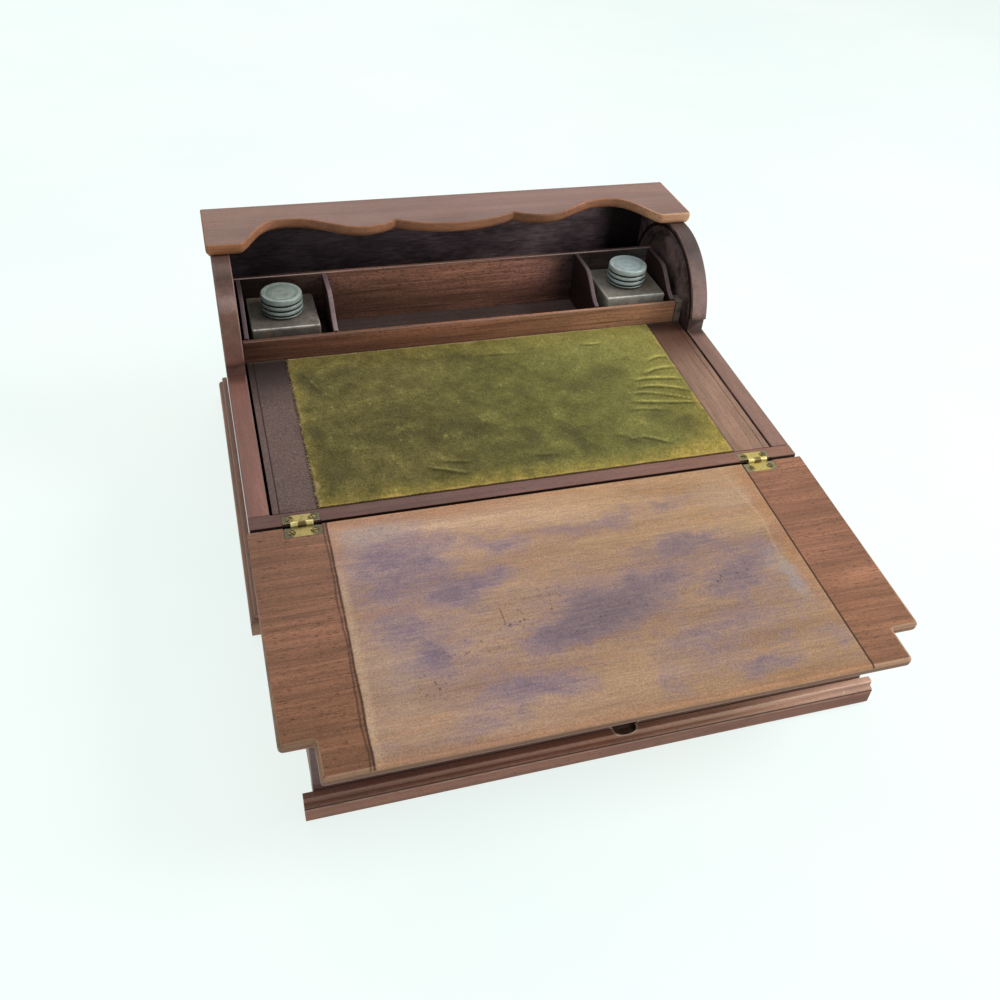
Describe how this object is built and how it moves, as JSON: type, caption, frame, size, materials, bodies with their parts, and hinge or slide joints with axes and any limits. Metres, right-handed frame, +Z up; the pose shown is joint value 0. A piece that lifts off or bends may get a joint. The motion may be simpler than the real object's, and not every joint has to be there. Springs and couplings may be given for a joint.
{
  "type": "roll-top lap desk",
  "caption": "Antique wooden lap desk with a folding writing flap resting on a pulled-out drawer, velvet writing slope, pen tray with screw-capped inkwells, scalloped top board and roll shutter.",
  "frame": {"origin": "middle of the underside of the bottom board, below the middle of the case", "axes": "+X to the writer's right along the front edge, +Y from the writer towards the back board, +Z up"},
  "size_m": [0.3534, 0.4133, 0.1503],
  "materials": {
    "mahogany": "satin, worn",
    "dark_mahogany": "matte, dusty",
    "drawer_lining_wood": "unpolished",
    "flap_wood": "satin margins round a bare stained panel",
    "olive_velvet": "worn pile",
    "brass": "dull, dirty",
    "tarnished_brass": "dull, dirty",
    "pewter_cap": "grey turned metal",
    "inkwell_body": "dark, worn at the edges",
    "cork": "matte",
    "canvas": "matte"
  },
  "bodies": {
    "case": {"side_board_left": "mahogany", "side_board_right": "mahogany", "inner_cheek_left": "dark_mahogany", "inner_cheek_right": "dark_mahogany", "plinth_left": "mahogany", "plinth_right": "mahogany", "top_board": "mahogany", "bottom_board": "dark_mahogany", "back_board": "dark_mahogany", "front_rail": "mahogany", "writing_panel": "mahogany", "writing_velvet": "olive_velvet", "tray_front_rail": "mahogany", "tray_rear_wall": "mahogany", "tray_floor": "dark_mahogany", "divider_left": "mahogany", "divider_right": "mahogany", "well_side_left": "dark_mahogany", "well_side_right": "dark_mahogany", "hinge_case_leaf_left": "brass", "hinge_case_leaf_right": "brass", "hinge_pin_left": "brass", "hinge_pin_right": "brass", "case_screw_left_1": "tarnished_brass", "case_screw_left_2": "tarnished_brass", "case_screw_right_1": "tarnished_brass", "case_screw_right_2": "tarnished_brass"},
    "flap": {"flap_board": "flap_wood", "hinge_flap_leaf_left": "brass", "hinge_flap_leaf_right": "brass", "flap_screw_left_1": "tarnished_brass", "flap_screw_left_2": "tarnished_brass", "flap_screw_right_1": "tarnished_brass", "flap_screw_right_2": "tarnished_brass"},
    "drawer": {"drawer_front": "mahogany", "drawer_moulding": "mahogany", "drawer_side_left": "drawer_lining_wood", "drawer_side_right": "drawer_lining_wood", "drawer_back": "drawer_lining_wood", "drawer_bottom": "drawer_lining_wood"},
    "shutter": {"shutter_canvas": "canvas", "shutter_lead_rail": "mahogany", "shutter_slat_01": "mahogany", "shutter_slat_02": "mahogany", "shutter_slat_03": "mahogany", "shutter_slat_04": "mahogany", "shutter_slat_05": "mahogany", "shutter_slat_06": "mahogany", "shutter_slat_07": "mahogany", "shutter_slat_08": "mahogany", "shutter_slat_09": "mahogany", "shutter_slat_10": "mahogany", "shutter_slat_11": "mahogany", "shutter_slat_12": "mahogany"},
    "inkwell_left": {"inkwell_left": "inkwell_body"},
    "inkwell_wad_left": {"inkwell_wad_left": "cork"},
    "inkwell_cap_left": {"inkwell_cap_left": "pewter_cap"},
    "inkwell_right": {"inkwell_right": "inkwell_body"},
    "inkwell_wad_right": {"inkwell_wad_right": "cork"},
    "inkwell_cap_right": {"inkwell_cap_right": "pewter_cap"}
  },
  "joints": [
    {"name": "flap_hinge", "type": "hinge", "parent": "case", "child": "flap", "pos_m": [0, -0.1262, 0.0785], "axis": [-1, 0, 0], "range_deg": [0, 181.7]},
    {"name": "drawer_slide", "type": "slide", "parent": "case", "child": "drawer", "axis": [0, 1, 0], "range_m": [0, 0.13]},
    {"name": "shutter_roll", "type": "hinge", "parent": "case", "child": "shutter", "pos_m": [0, 0.0665, 0.094], "axis": [-1, 0, 0], "range_deg": [-162, 0]},
    {"name": "inkwell_left_lift", "type": "slide", "parent": "case", "child": "inkwell_left", "axis": [0, 0, 1], "range_m": [0, 0.036]},
    {"name": "wad_left_rise", "type": "slide", "parent": "inkwell_left", "child": "inkwell_wad_left", "axis": [0, 0, 1], "range_m": [0, 0.0097]},
    {"name": "cap_left_turn", "type": "hinge", "parent": "inkwell_wad_left", "child": "inkwell_cap_left", "pos_m": [-0.1277, 0.0643, 0.115], "axis": [0, 0, 1], "range_deg": [0, 1440]},
    {"name": "inkwell_right_lift", "type": "slide", "parent": "case", "child": "inkwell_right", "axis": [0, 0, 1], "range_m": [0, 0.036]},
    {"name": "wad_right_rise", "type": "slide", "parent": "inkwell_right", "child": "inkwell_wad_right", "axis": [0, 0, 1], "range_m": [0, 0.0097]},
    {"name": "cap_right_turn", "type": "hinge", "parent": "inkwell_wad_right", "child": "inkwell_cap_right", "pos_m": [0.1243, 0.0643, 0.115], "axis": [0, 0, 1], "range_deg": [0, 1440]}
  ],
  "couplings": [
    {"joint": "wad_left_rise", "follows": "cap_left_turn", "m_per_rad": 0.00038197},
    {"joint": "wad_right_rise", "follows": "cap_right_turn", "m_per_rad": 0.00038197}
  ]
}
